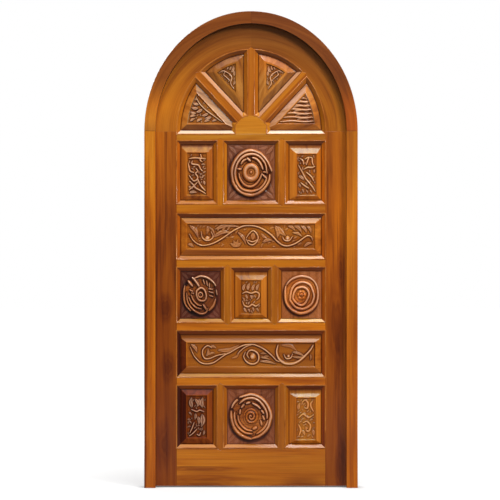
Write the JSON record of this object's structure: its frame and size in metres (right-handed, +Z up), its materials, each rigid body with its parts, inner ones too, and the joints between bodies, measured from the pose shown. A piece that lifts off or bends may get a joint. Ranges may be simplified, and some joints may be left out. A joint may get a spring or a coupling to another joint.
{
  "type": "arched carved panel door with frame",
  "caption": "Arched wooden panel door with carved vine panels, rosettes and a fan of wedge panels, hung on butt hinges in its own rebated frame.",
  "frame": {"origin": "on the floor, under the middle of the frame and half way through its depth", "axes": "+X to the viewer's right along the frame, -Y towards the viewer at the front, +Z up"},
  "size_m": [1, 0.0935, 2.234],
  "materials": {
    "frame_wood": "varnished",
    "leaf_wood": "varnished",
    "panel_wood": "varnished, carved",
    "rosette_wood": "varnished, carved",
    "hinge_brass": "satin"
  },
  "bodies": {
    "frame": {"left_jamb": "frame_wood", "right_jamb": "frame_wood", "arch_head_left": "frame_wood", "arch_head_right": "frame_wood", "crown_tenon": "frame_wood", "left_spring_tenon": "frame_wood", "right_spring_tenon": "frame_wood", "lower_hinge_frame_leaf": "hinge_brass", "middle_hinge_frame_leaf": "hinge_brass", "upper_hinge_frame_leaf": "hinge_brass", "lower_hinge_pin": "hinge_brass", "middle_hinge_pin": "hinge_brass", "upper_hinge_pin": "hinge_brass"},
    "leaf": {"hinge_stile": "leaf_wood", "lock_stile": "leaf_wood", "arch_rail_left": "leaf_wood", "arch_rail_right": "leaf_wood", "bottom_rail": "leaf_wood", "low_cross_rail": "leaf_wood", "mid_cross_rail": "leaf_wood", "high_cross_rail": "leaf_wood", "frieze_rail": "leaf_wood", "fan_rail": "leaf_wood", "lower_muntin_left": "leaf_wood", "lower_muntin_right": "leaf_wood", "middle_muntin_left": "leaf_wood", "middle_muntin_right": "leaf_wood", "upper_muntin_left": "leaf_wood", "upper_muntin_right": "leaf_wood", "fan_hub": "leaf_wood", "middle_spoke": "leaf_wood", "left_spoke": "leaf_wood", "right_spoke": "leaf_wood", "lower_vine_panel": "panel_wood", "upper_vine_panel": "panel_wood", "lower_left_panel": "panel_wood", "lower_right_panel": "panel_wood", "middle_panel": "panel_wood", "upper_left_panel": "panel_wood", "upper_right_panel": "panel_wood", "fan_panel_far_left": "panel_wood", "fan_panel_left": "panel_wood", "fan_panel_right": "panel_wood", "fan_panel_far_right": "panel_wood", "lower_ground_panel": "panel_wood", "middle_left_ground_panel": "panel_wood", "middle_right_ground_panel": "panel_wood", "upper_ground_panel": "panel_wood", "lower_rosette": "rosette_wood", "middle_left_rosette": "rosette_wood", "middle_right_rosette": "rosette_wood", "upper_rosette": "rosette_wood", "lower_hinge_door_leaf": "hinge_brass", "middle_hinge_door_leaf": "hinge_brass", "upper_hinge_door_leaf": "hinge_brass"}
  },
  "joints": [
    {"name": "leaf_hinge", "type": "hinge", "parent": "frame", "child": "leaf", "pos_m": [-0.4585, 0.047, 0.8385], "axis": [0, 0, 1], "range_deg": [0, 110]}
  ]
}
